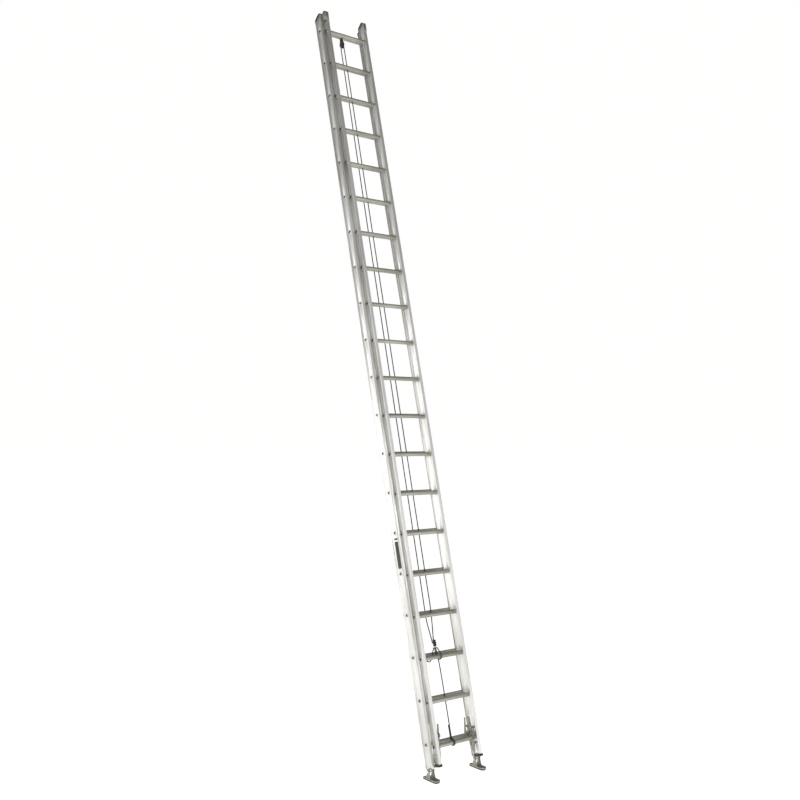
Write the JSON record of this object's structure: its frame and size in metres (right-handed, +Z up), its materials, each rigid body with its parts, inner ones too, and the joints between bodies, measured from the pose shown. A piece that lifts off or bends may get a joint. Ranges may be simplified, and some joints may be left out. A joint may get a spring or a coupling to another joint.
{
  "type": "extension ladder",
  "caption": "Two-section aluminium extension ladder leaning at its working angle, with rung locks, rope hoist and swivelling shoes.",
  "frame": {"origin": "on the floor, midway between the two shoes, below their pivots", "axes": "+Z up, +X along the rungs to the climber's right, -Y towards the climber; the ladder leans back towards +Y at 75.5 degrees to the floor"},
  "size_m": [0.5016, 1.6491, 6.0136],
  "materials": {
    "rail_aluminium": "mill-finish extruded aluminium, fine lines along the rail",
    "rung_aluminium": "extruded aluminium, ribbed tread",
    "black_plastic": "moulded black plastic",
    "guide_aluminium": "formed aluminium",
    "rivet_steel": "plated rivets",
    "rope": "braided synthetic rope, dark grey green",
    "rubber_sole": "moulded rubber",
    "shoe_metal": "plated pressed steel, dull",
    "zinc_steel": "zinc-plated steel",
    "spring_steel": "black spring wire",
    "lock_aluminium": "cast aluminium, tumbled",
    "sheave_plastic": "moulded nylon",
    "black_metal": "black-coated steel",
    "label": "blank dark vinyl"
  },
  "bodies": {
    "base": {"base_rail_left": "rail_aluminium", "base_rail_right": "rail_aluminium", "base_rivets": "rivet_steel", "base_rungs_01_04": "rung_aluminium", "base_rungs_05_08": "rung_aluminium", "base_rungs_09_12": "rung_aluminium", "base_rungs_13_16": "rung_aluminium", "base_rungs_17_20": "rung_aluminium", "base_top_cap_left": "black_plastic", "base_top_cap_right": "black_plastic", "foot_bracket_left": "shoe_metal", "foot_bracket_right": "shoe_metal", "pulley_block": "black_metal", "pulley_hanger": "black_metal", "pulley_pins": "zinc_steel", "rail_label": "label", "rope_haul": "rope", "rope_return": "rope", "top_guide_left": "guide_aluminium", "top_guide_right": "guide_aluminium"},
    "fly": {"bottom_guide_left": "guide_aluminium", "bottom_guide_right": "guide_aluminium", "fly_bottom_cap_left": "black_plastic", "fly_bottom_cap_right": "black_plastic", "fly_rail_left": "rail_aluminium", "fly_rail_right": "rail_aluminium", "fly_rivets": "rivet_steel", "fly_rungs_01_04": "rung_aluminium", "fly_rungs_05_08": "rung_aluminium", "fly_rungs_09_12": "rung_aluminium", "fly_rungs_13_16": "rung_aluminium", "fly_rungs_17_20": "rung_aluminium", "fly_top_cap_left": "black_plastic", "fly_top_cap_right": "black_plastic", "lock_bracket_left": "lock_aluminium", "lock_bracket_right": "lock_aluminium", "lock_pins_left": "zinc_steel", "lock_pins_right": "zinc_steel", "lock_spring_left": "spring_steel", "lock_spring_right": "spring_steel", "rope_end_knot": "rope", "rope_loop": "rope", "rope_lower": "rope", "rope_tail": "rope", "rope_tie_knot": "rope"},
    "lock_finger_left": {"lock_finger_left": "lock_aluminium"},
    "lock_finger_right": {"lock_finger_right": "lock_aluminium"},
    "lock_hook_left": {"lock_hook_left": "lock_aluminium"},
    "lock_hook_right": {"lock_hook_right": "lock_aluminium"},
    "sheave": {"pulley_sheave": "sheave_plastic"},
    "shoe_left": {"shoe_bolt_left": "zinc_steel", "shoe_pad_left": "rubber_sole", "shoe_plate_left": "shoe_metal"},
    "shoe_right": {"shoe_bolt_right": "zinc_steel", "shoe_pad_right": "rubber_sole", "shoe_plate_right": "shoe_metal"}
  },
  "joints": [
    {"name": "fly_slide", "type": "slide", "parent": "base", "child": "fly", "axis": [0, 0.2504, 0.9681], "range_m": [0, 4.572]},
    {"name": "hook_left", "type": "hinge", "parent": "fly", "child": "lock_hook_left", "pos_m": [-0.14, 0.02598, 0.2583], "axis": [1, 0, 0], "range_deg": [-132, 0], "stiffness_Nm_per_rad": 0.05, "springref_deg": 17.19},
    {"name": "finger_left", "type": "hinge", "parent": "fly", "child": "lock_finger_left", "pos_m": [-0.14, 0.02598, 0.2583], "axis": [1, 0, 0], "range_deg": [0, 30]},
    {"name": "shoe_swivel_left", "type": "hinge", "parent": "base", "child": "shoe_left", "pos_m": [-0.221, 0, 0.062], "axis": [1, 0, 0], "range_deg": [-30, 70]},
    {"name": "hook_right", "type": "hinge", "parent": "fly", "child": "lock_hook_right", "pos_m": [0.14, 0.02598, 0.2583], "axis": [1, 0, 0], "range_deg": [-132, 0], "stiffness_Nm_per_rad": 0.05, "springref_deg": 17.19},
    {"name": "finger_right", "type": "hinge", "parent": "fly", "child": "lock_finger_right", "pos_m": [0.14, 0.02598, 0.2583], "axis": [1, 0, 0], "range_deg": [0, 30]},
    {"name": "shoe_swivel_right", "type": "hinge", "parent": "base", "child": "shoe_right", "pos_m": [0.221, 0, 0.062], "axis": [1, 0, 0], "range_deg": [-30, 70]},
    {"name": "sheave_spin", "type": "hinge", "parent": "base", "child": "sheave", "pos_m": [-0.008, 1.4841, 5.77663], "axis": [1, 0, 0], "continuous": true}
  ],
  "couplings": [
    {"joint": "sheave_spin", "follows": "fly_slide", "rad_per_m": -47.17}
  ]
}
